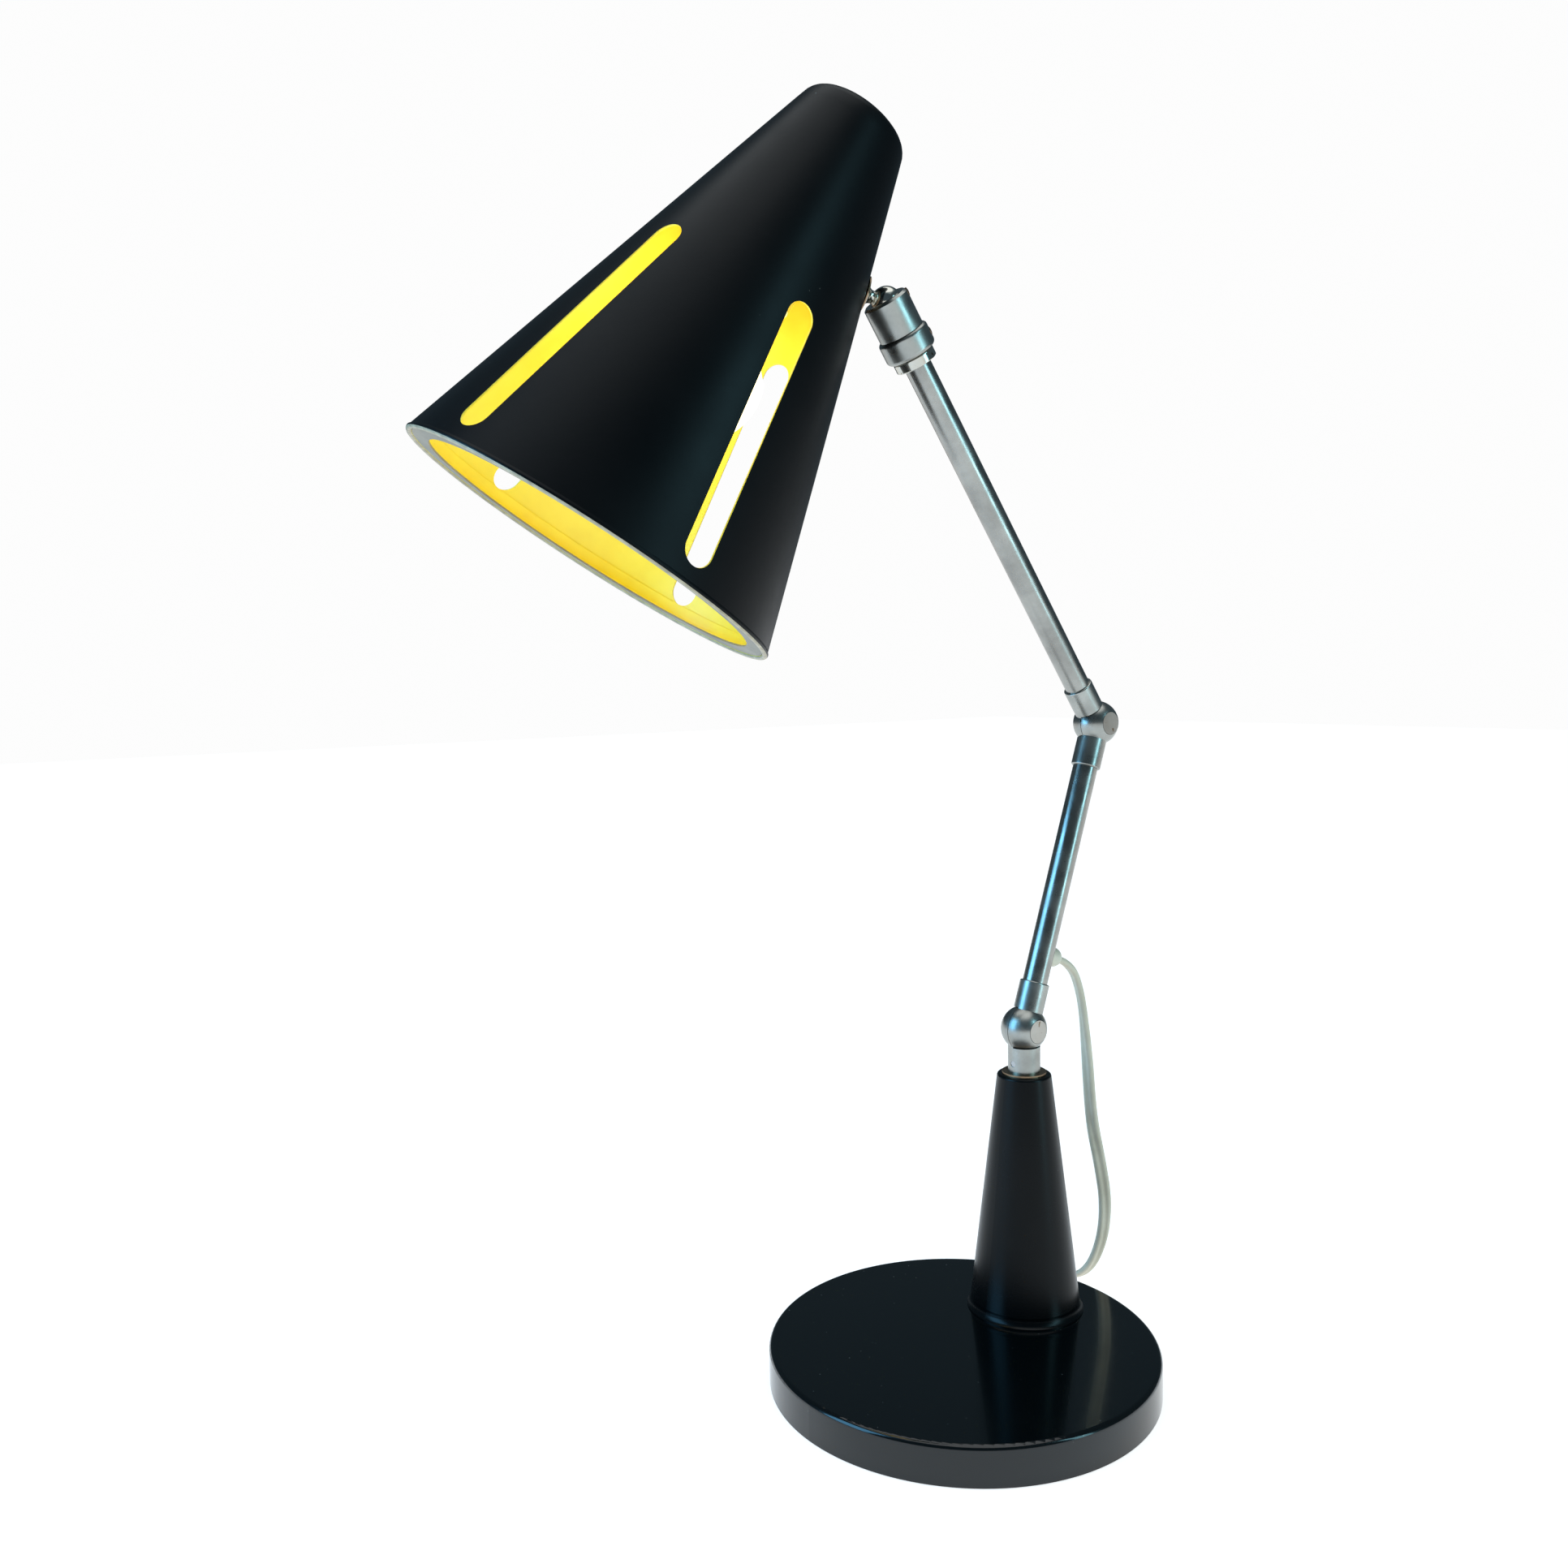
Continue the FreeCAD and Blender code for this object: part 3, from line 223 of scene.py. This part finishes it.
# %% [markdown]
# ## Dress the CAD solids
# Turned and drilled parts such as tubes, screws and nuts already have their true shape in the
# CAD model. They could be modelled again, but that would only copy them, so they change their
# material here and get smooth shading at the end.
# %% CAD materials
DRESS = {
    base_black: ["base_shell"], stem_black: ["stem_cone"], iron: ["base_ballast"], felt: ["base_felt"],
    nickel: ["swivel_barrel", "lower_arm_foot", "lower_arm_top", "upper_arm_foot", "head_collar", "head_cup"],
    screw_head: ["lower_pivot_screw", "upper_pivot_screw"],
    tube_nickel: ["lower_tube", "upper_tube"], bright: ["head_nut", "ball_stud"],
    brown: ["collar_screw", "cup_screw"], bronze: ["swivel_washer", "shade_washer"],
    steel: ["stem_tie_rod", "tie_rod_washer", "tie_rod_nut", "swivel_lock_screw", "lower_pivot_nut",
            "lower_pivot_washer", "upper_pivot_nut", "upper_pivot_washer", "ball_seat", "stud_nut",
            "holder_bracket", "holder_nipple", "holder_nut", "bulb_cap"],
    ring_painted_shade: ["mouth_ring"], porcelain: ["lampholder", "holder_ring"], glass: ["bulb_glass"],
    cream: ["lower_flex", "upper_flex", "holder_lead"], bush_cream: ["cord_bush"],
    tie_dark: ["hank_tie"], plug_cream: ["plug_body"], brass: ["plug_pins"],
}
for material, names in DRESS.items():
    for name in names:
        ob = nodes[name]
        ob.data.materials.clear()
        ob.data.materials.append(material)
print("dressed", sum(len(v) for v in DRESS.values()), "solids")

# %% [markdown]
# ## The shade
# The real shade is spun from sheet: one skin, 1 mm thick, with a rolled bead at the mouth and a
# soft crown. Turning a profile round an axis does the same in mesh code. It is built upright
# about its own axis, in millimetres, with the bracket on the +X side, and then set in place.
# %% Shade frame and sizes
SHADE_AT = Vector((151.122, -60.308, 380.864)) * MM
SHADE_UP = Vector((-0.49501, 0.23508, 0.83647)).normalized()
SHADE_OUT = Vector((-0.77449, 0.31875, -0.54730))
SHADE_OUT = (SHADE_OUT - SHADE_UP * SHADE_OUT.dot(SHADE_UP)).normalized()
SHADE_SIDE = SHADE_UP.cross(SHADE_OUT)
to_shade = Matrix((SHADE_OUT, SHADE_SIDE, SHADE_UP)).transposed().to_4x4()
to_shade.translation = SHADE_AT
MOUTH_R, CROWN_R, CONE_LEN, WALL = 86.2, 23.8, 211.9, 1.0
TAPER = (MOUTH_R - CROWN_R) / CONE_LEN
BEAD = 1.3
SLOT_W, SLOT_LOW, SLOT_HIGH = 13.0, 8.0, 121.5
SLOT_TURNS = (52.0, 124.0, 220.0, 292.0)
STEP_Z = 6
CONE_TOP = 206
BEND_Z = 207.5
EDGE_R, EDGE_Z = 18.9, 213.0
CROWN_R_MID, CROWN_Z = 9.6, 215.5

# %% Shade mesh tools
def cone_r(z):
    return MOUTH_R - TAPER * z


def lathe(profile, segments, closed):
    """A bmesh turned from (radius, height) points in mm round the upright axis."""
    bm = bmesh.new()
    rings = []
    for r, z in profile:
        if r < 1e-6:
            rings.append([bm.verts.new((0, 0, z * MM))])
            continue
        rings.append([
            bm.verts.new((r * MM * math.cos(2 * math.pi * k / segments),
                          r * MM * math.sin(2 * math.pi * k / segments), z * MM))
            for k in range(segments)])
    pairs = list(zip(rings, rings[1:]))
    if closed:
        pairs.append((rings[-1], rings[0]))
    for a, b_ in pairs:
        for k in range(segments):
            q = [a[k % len(a)], a[(k + 1) % len(a)], b_[(k + 1) % len(b_)], b_[k % len(b_)]]
            q = list(dict.fromkeys(q))
            if len(q) > 2:
                bm.faces.new(q)
    bmesh.ops.recalc_face_normals(bm, faces=bm.faces)
    return bm


def to_object(bm, name, materials, smooth_deg=35):
    me = bpy.data.meshes.new(name)
    bm.to_mesh(me)
    bm.free()
    ob = bpy.data.objects.new(name, me)
    bpy.context.scene.collection.objects.link(ob)
    for m in materials:
        me.materials.append(m)
    me.shade_smooth()
    me.set_sharp_from_angle(angle=math.radians(smooth_deg))
    return ob


def bezier(p0, p1, p2, n):
    return [tuple((1 - t) ** 2 * a + 2 * t * (1 - t) * b_ + t * t * c for a, b_, c in zip(p0, p1, p2))
            for t in (k / n for k in range(1, n + 1))]


# %% Shade profile
off = WALL * math.sqrt(1 + TAPER ** 2)
wall_levels = [2 * BEAD] + list(range(STEP_Z, CONE_TOP, STEP_Z))
outer = [(cone_r(z), z) for z in wall_levels]
outer += bezier((cone_r(BEND_Z), BEND_Z), (cone_r(212.1), 212.4), (EDGE_R, EDGE_Z), 7)
outer += bezier((EDGE_R, EDGE_Z), (CROWN_R_MID, CROWN_Z), (0.0, CROWN_Z), 6)
inner = [(cone_r(z) - off, z) for z in wall_levels]
inner += bezier((cone_r(BEND_Z) - off, BEND_Z), (cone_r(211.1) - off, 211.3),
                (EDGE_R - 0.8, EDGE_Z - WALL), 7)
inner += bezier((EDGE_R - 0.8, EDGE_Z - WALL), (CROWN_R_MID, CROWN_Z - WALL), (0.0, CROWN_Z - WALL), 6)
bead = []
for k in range(13):
    a = math.radians(20 - k * 20)
    bead.append((MOUTH_R - BEAD + BEAD * math.cos(a), BEAD + BEAD * math.sin(a)))
skin = lathe(list(reversed(outer)) + bead + inner, 240, False)
shade = to_object(skin, "shade_skin", [shade_black, inside_enamel_and_painted_light, rim_cream])
print("shade profile points", len(outer) + len(inner) + len(bead))

# %% [markdown]
# Four long slots with round ends are punched through the wall. They could be left out of the
# lathe face by face, but their ends are round and the wall is curved, so a boolean with four
# straight cutters is simpler and leaves true edges of the wall's thickness.
# %% Shade slots
CUT_NEAR, CUT_FAR = 30.0, 105.0
cutters = bmesh.new()
half = SLOT_W / 2
outline = [(half * math.cos(math.radians(a)), SLOT_HIGH - half + half * math.sin(math.radians(a)))
           for a in range(0, 181, 9)]
outline += [(half * math.cos(math.radians(a)), SLOT_LOW + half + half * math.sin(math.radians(a)))
            for a in range(180, 361, 9)]
for turn in SLOT_TURNS:
    rot = Matrix.Rotation(math.radians(turn), 3, "Z")
    near = [cutters.verts.new(rot @ (Vector((CUT_NEAR, y, z)) * MM)) for y, z in outline]
    far = [cutters.verts.new(rot @ (Vector((CUT_FAR, y, z)) * MM)) for y, z in outline]
    cutters.faces.new(near)
    cutters.faces.new(list(reversed(far)))
    for k in range(len(near)):
        j = (k + 1) % len(near)
        cutters.faces.new((near[k], far[k], far[j], near[j]))
bmesh.ops.recalc_face_normals(cutters, faces=cutters.faces)
cutter = to_object(cutters, "slot_cutter", [inside_enamel_and_painted_light])
cut = shade.modifiers.new("slots", "BOOLEAN")
cut.operation = "DIFFERENCE"
cut.object = cutter
cut.solver = "EXACT"
graph = bpy.context.evaluated_depsgraph_get()
cut_mesh = bpy.data.meshes.new_from_object(shade.evaluated_get(graph))
shade.modifiers.clear()
shade.data = cut_mesh
bpy.data.objects.remove(cutter)
print("shade faces", len(cut_mesh.polygons))

# %% [markdown]
# Each face of the skin takes its paint from where it lies: black outside, enamel inside and on
# the slots' edges, a worn pale edge on the bead. The smooth normals come from the cone itself, so
# the cut slots leave no ripples in the highlight.
# %% Shade paint and normals
BLACK, ENAMEL, RIM = 0, 1, 2
flat = math.hypot(1, TAPER)
loop_normals = []
for p in cut_mesh.polygons:
    c = p.center / MM
    r = math.hypot(c.x, c.y)
    depth = cone_r(c.z) - r
    radial = (p.normal.x * c.x + p.normal.y * c.y) / max(r, 1e-6)
    if c.z < 0.75 and depth < 2.9:
        kind = RIM
    elif c.z < 2.5 and depth < 1.4:
        kind = BLACK
    elif c.z > 205:
        kind = BLACK if p.normal.z > 0 else ENAMEL
    elif depth < 0.45 and radial > 0.5:
        kind = BLACK
    else:
        kind = ENAMEL
    p.material_index = kind
    p.use_smooth = True
    on_cone = 3.2 < c.z < 205 and abs(abs(radial) - 1 / flat) < 0.03
    for li in p.loop_indices:
        co = cut_mesh.vertices[cut_mesh.loops[li].vertex_index].co
        if on_cone:
            s = 1 if radial > 0 else -1
            rr = math.hypot(co.x, co.y)
            loop_normals.append((s * co.x / rr / flat, s * co.y / rr / flat, s * TAPER / flat))
        else:
            n = cut_mesh.corner_normals[li].vector
            loop_normals.append((n.x, n.y, n.z))
turn_only = to_shade.to_3x3()
cut_mesh.transform(to_shade)
cut_mesh.normals_split_custom_set([tuple(turn_only @ Vector(n)) for n in loop_normals])
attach(shade, "shade")
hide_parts("shade_shell")

# %% [markdown]
# The flat grey ring in the mouth is a narrow lip on a skirt that grips the inside of the wall.
# It could share the shade's lathe, but it is a piece of its own on the real lamp and carries two
# paints: on the lip a dull grey that is painted shade, and on the skirt the same enamel as the inside.
# %% Mouth ring
RING_IN_R = 76.0
RING_LOW, RING_HIGH = 1.0, 1.8
SKIRT_TOP = 7.9
ring_r = MOUTH_R - 2 * BEAD - 0.1
skirt_r = cone_r(SKIRT_TOP) - off
ring_bm = lathe([(skirt_r - 0.15, SKIRT_TOP), (skirt_r - 0.9, SKIRT_TOP), (ring_r - 0.9, RING_HIGH),
                 (RING_IN_R, RING_HIGH), (RING_IN_R - 0.05, 1.4), (RING_IN_R, RING_LOW),
                 (ring_r, RING_LOW), (ring_r, RING_HIGH)], 200, True)
ring = to_object(ring_bm, "mouth_lip", [inside_enamel_and_painted_light, ring_painted_shade])
# The lip's faces take the grey of painted shade; the skirt takes the inside enamel.
for p in ring.data.polygons:
    c = p.center / MM
    p.material_index = 1 if c.z < RING_HIGH - 0.05 else 0
ring.data.transform(to_shade)
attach(ring, "shade")
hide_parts("mouth_ring")

# %% [markdown]
# ## The flex
# A flat twin flex leaves the bush on the lower arm edge-on, turns flat on its way down behind the
# stem and ends in a tied hank and a plug on the table. A curve with a round bevel would be
# quicker, but it can't show the two cores, so a section of two round cores joined by a web is
# swept along a smooth NURBS line. The line's control points are the route of the CAD tube.
# %% Route points
CORD_R = 3.2
EXIT = (-70.306, -6.9, 186.995)
LEAD = [EXIT, (-80.682, -6.9, 183.341), (-88.6, -7.1, 168.0), (-92.4, -6.9, 144.0), (-95.0, -7.3, 120.0)]
DROP = [(-95.0, -7.3, 120.0), (-97.154, -7.631, 100.119), (-103.6, -7.5, 77.0), (-109.6, -8.5, 54.0),
        (-112.6, -13.5, 31.0), (-112.4, -23.0, 11.0), (-110.6, -38.0, 3.2)]
AWAY = Vector((math.cos(math.radians(-136.0)), math.sin(math.radians(-136.0)), 0))
LEFT = Vector((-AWAY.y, AWAY.x, 0))
HANK_BASE = Vector((-48.4, -6.9, CORD_R)) + AWAY * 100
RUN, WIDE, TIGHT, LAYER = 128.0, 19.7, 12.8, 6.9


def hank_at(x, y, z):
    return HANK_BASE + AWAY * x - LEFT * y + Vector((0, 0, z))


def fold(x, y0, y1, z0, z1, side):
    """Control points of one half turn of the hank, from height z0 to z1."""
    r = abs(y1 - y0) / 2
    mid = (y0 + y1) / 2
    up = 1 if y0 > y1 else -1
    reach = r / math.cos(math.radians(22.5))
    lead = r * math.tan(math.radians(22.5))
    pts = [(x - side * lead, y0, z0)]
    for a in (67.5, 22.5, -22.5, -67.5):
        t = math.radians(a)
        z = z0 if a > 0 else z1
        pts.append((x + side * reach * math.cos(t), mid + up * reach * math.sin(t), z))
    pts.append((x - side * lead, y1, z1))
    return [hank_at(*p) for p in pts]


hank = [hank_at(-19, WIDE, 0), hank_at(0, WIDE, 0)]
hank += fold(RUN, WIDE, -WIDE, 0, 0, 1)
hank += fold(0, -WIDE, TIGHT, 0, 0, -1)
hank += fold(RUN, TIGHT, -TIGHT, 0, 0, 1)
hank += fold(0, -TIGHT, TIGHT, LAYER, LAYER, -1)
hank += fold(RUN, TIGHT, -WIDE, LAYER, LAYER, 1)
hank += fold(0, -WIDE, WIDE, LAYER, LAYER, -1)
PLUG_Z = 13.0 - CORD_R
tail = [hank_at(RUN, WIDE, LAYER), hank_at(RUN + 16, WIDE, LAYER), hank_at(RUN + 34, WIDE - 8.0, LAYER),
        hank_at(RUN + 52, WIDE - 17.0, (LAYER + PLUG_Z) / 2), hank_at(RUN + 70, WIDE - 20.0, PLUG_Z)]
ROUTE = [Vector(p) for p in DROP] + hank + tail
print("route points", len(LEAD), len(ROUTE))


# %% Tools to sweep a twin flex along a NURBS line
def nurbs_line(name, points):
    cu = bpy.data.curves.new(name, "CURVE")
    cu.dimensions = "3D"
    sp = cu.splines.new("NURBS")
    sp.points.add(len(points) - 1)
    for p, q in zip(sp.points, points):
        p.co = (*(Vector(q) * MM), 1)
    sp.order_u = 3
    sp.use_endpoint_u = True
    sp.resolution_u = 10
    ob = bpy.data.objects.new(name, cu)
    me = bpy.data.meshes.new_from_object(ob)
    line = [v.co.copy() for v in me.vertices]
    bpy.data.objects.remove(ob)
    return line


def twin_section(width, thick, n=11):
    """Outline of two round cores side by side with a shallow groove, in (across, through)."""
    r = thick / 2
    c = width / 2 - r
    right = [(c + r * math.cos(a), r * math.sin(a)) for a in
             (math.radians(-122 + 244 * k / n) for k in range(n + 1))]
    web = r * 0.74
    pts = right + [(0.0, web)]
    pts += [(-x, -y) for x, y in right] + [(0.0, -web)]
    return pts


def sweep(name, line, wide_at, material, width=6.4, thick=3.2):
    """A mesh tube of twin section. wide_at(point, k) says which way the flat side lies."""
    sec = [(x * MM, y * MM) for x, y in twin_section(width, thick)]
    bm = bmesh.new()
    rings = []
    for k, p in enumerate(line):
        t = (line[min(k + 1, len(line) - 1)] - line[max(k - 1, 0)]).normalized()
        w = wide_at(p, k)
        w = (w - t * w.dot(t)).normalized()
        d = t.cross(w)
        rings.append([bm.verts.new(p + w * x + d * y) for x, y in sec])
    for a, b_ in zip(rings, rings[1:]):
        for k in range(len(sec)):
            j = (k + 1) % len(sec)
            bm.faces.new((a[k], a[j], b_[j], b_[k]))
    bm.faces.new(list(reversed(rings[0])))
    bm.faces.new(rings[-1])
    bmesh.ops.recalc_face_normals(bm, faces=bm.faces)
    return to_object(bm, name, [material], 50)


def turned(keys):
    """Flat direction along the line, mixed smoothly between (share of length, direction)."""
    def at(share):
        for (s0, w0), (s1, w1) in zip(keys, keys[1:]):
            if share <= s1:
                t = (share - s0) / (s1 - s0)
                t = t * t * (3 - 2 * t)
                return Vector(w0).lerp(Vector(w1), t)
        return Vector(keys[-1][1])
    return at


def length_of(line):
    return sum((b_ - a).length for a, b_ in zip(line, line[1:]))


def shares(line):
    total = length_of(line)
    run = [0.0]
    for a, b_ in zip(line, line[1:]):
        run.append(run[-1] + (b_ - a).length / total)
    return run


# %% [markdown]
# The lead crosses the lower knuckle and the drop crosses the stem's swivel. A real flex bends
# there; here each is baked into place and rides on no body.
# %% Lead from the bush
lead_line = nurbs_line("lead_line", LEAD)
lead_share = shares(lead_line)
lead_turn = turned([(0.0, (0.3, 0.95, 0.0)), (0.45, (0.45, 0.89, 0.0)), (1.0, (-0.15, 0.98, 0.0))])
lead_flex = sweep("flex_lead", lead_line, lambda p, k: lead_turn(lead_share[k]), cream)
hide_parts("cord_lead")
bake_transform(lead_flex)
print("lead", round(length_of(lead_line), 4))

# %% Flex to the table, the hank and the plug
main_line = nurbs_line("main_line", ROUTE)
main_share = shares(main_line)
main_len = length_of(main_line)
main_turn = turned([(0.0, (-0.15, 0.98, 0.0)), (0.05 / main_len, (-0.8, 0.6, 0.0)),
                    (0.12 / main_len, (-0.95, 0.2, 0.0)), (0.155 / main_len, (-0.9, -0.25, 0.25)),
                    (0.185 / main_len, (0, 0, 1)), (1.0, (0, 0, 1))])
main_flex = sweep("flex_main", main_line, lambda p, k: main_turn(main_share[k]), cream)
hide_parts("cord_drop", "cord_hank", "cord_tail")
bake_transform(main_flex)
print("main flex", round(main_len, 4))

# %% [markdown]
# ## Studio
# A pale floor runs back under a pale sky. The photo's background is nearly white with hardly a
# shadow, which would take many lamps, so the floor gives off a little light itself and the sky is
# white only where the camera sees it. A wide sun and three cool soft boxes light the lamp: one
# from each side and one from above.
# %% Floor
FLOOR_GLOW = 0.8
bm = bmesh.new()
bmesh.ops.create_grid(bm, x_segments=8, y_segments=8, size=6.0)
floor_mat, nt, b = shader("floor_paper")
link(nt, ramp(nt, noise(nt, 3, 2), [(0.3, (0.6, 0.6, 0.6)), (0.7, (0.62, 0.62, 0.62))]), b, "Base Color")
b.inputs["Roughness"].default_value = 0.9
b.inputs["Specular IOR Level"].default_value = 0.1
b.inputs["Emission Color"].default_value = (1, 1, 1, 1)
b.inputs["Emission Strength"].default_value = FLOOR_GLOW
floor = to_object(bm, "floor", [floor_mat])

# %% Sky
world = bpy.data.worlds.new("studio")
bpy.context.scene.world = world
world.use_nodes = True
wn = world.node_tree
back = wn.nodes["Background"]
seen = wn.nodes.new("ShaderNodeLightPath")
tone = wn.nodes.new("ShaderNodeMixRGB")
SKY_LIGHT, SKY_SEEN = (0.06, 0.09, 0.11, 1), (0.98, 0.98, 0.98, 1)
tone.inputs["Color1"].default_value = SKY_LIGHT
tone.inputs["Color2"].default_value = SKY_SEEN
wn.links.new(seen.outputs["Is Camera Ray"], tone.inputs["Fac"])
wn.links.new(tone.outputs["Color"], back.inputs["Color"])


# %% Light tool
def soft_box(name, at, aim, size, size_y, power, colour):
    li = bpy.data.lights.new(name, "AREA")
    li.shape = "RECTANGLE"
    li.size = size
    li.size_y = size_y
    li.energy = power
    li.color = colour
    ob = bpy.data.objects.new(name, li)
    bpy.context.scene.collection.objects.link(ob)
    ob.location = at
    ob.rotation_euler = (Vector(aim) - Vector(at)).to_track_quat("-Z", "Y").to_euler()
    print(name, "at", [round(v, 2) for v in ob.location])


# %% [markdown]
# The lights are placed from the camera's own directions, so that each sheen falls on the side of
# the lamp where the photo has it.
# %% Lights
CAM_AT = Vector((0.43008, 0.45503, 0.33004))
CAM_RIGHT = Vector((-0.8062, 0.5914, -0.0176))
CAM_DOWN = Vector((0.0629, 0.0561, -0.9964))
CAM_FORWARD = Vector((-0.5883, -0.8044, -0.0824))
MIDDLE = Vector((0.02, -0.02, 0.3))
sun = bpy.data.lights.new("even_light", "SUN")
sun.energy = 0.9
sun.angle = math.radians(60)
sun_ob = bpy.data.objects.new("even_light", sun)
bpy.context.scene.collection.objects.link(sun_ob)
soft_box("left_box", MIDDLE - CAM_RIGHT * 1.5 - CAM_FORWARD * 0.5 + Vector((0, 0, 0.5)), MIDDLE,
         0.9, 1.4, 24, (0.2, 0.6, 1.0))
soft_box("right_box", MIDDLE + CAM_RIGHT * 1.4 - CAM_FORWARD * 0.9 + Vector((0, 0, 0.35)), MIDDLE,
         0.35, 1.5, 9, (0.4, 0.85, 1.0))
soft_box("top_box", MIDDLE + Vector((0.1, 0.1, 1.7)), MIDDLE, 2.0, 2.0, 4, (0.8, 0.95, 1.0))

# %% [markdown]
# The camera stands where the photo was taken from. Its focal length was found in pixels of the
# 1932-pixel frame, and is turned into millimetres on a 36 mm sensor.
# %% Camera
FOCAL_PX, FRAME_PX, SENSOR_MM = 1706.718, 1932, 36.0
cam = bpy.data.cameras.new("camera")
cam.sensor_width = SENSOR_MM
cam.lens = FOCAL_PX / FRAME_PX * SENSOR_MM
cam_ob = bpy.data.objects.new("camera", cam)
bpy.context.scene.collection.objects.link(cam_ob)
axes = Matrix((CAM_RIGHT, -CAM_DOWN, -CAM_FORWARD)).transposed().to_4x4()
axes.translation = CAM_AT
cam_ob.matrix_world = axes
bpy.context.scene.camera = cam_ob
bpy.context.scene.view_settings.view_transform = "Standard"
print("lens", round(cam.lens, 2), "mm")

# %% [markdown]
# ## Smooth shading
# The CAD solids come as flat triangles. Smooth shading with sharp edges above a small angle makes
# their round faces round and keeps their corners.
# %% Finish
SHARP_DEG = 32
for name, ob in nodes.items():
    if ob.type == "MESH":
        ob.data.shade_smooth()
        ob.data.set_sharp_from_angle(angle=math.radians(SHARP_DEG))
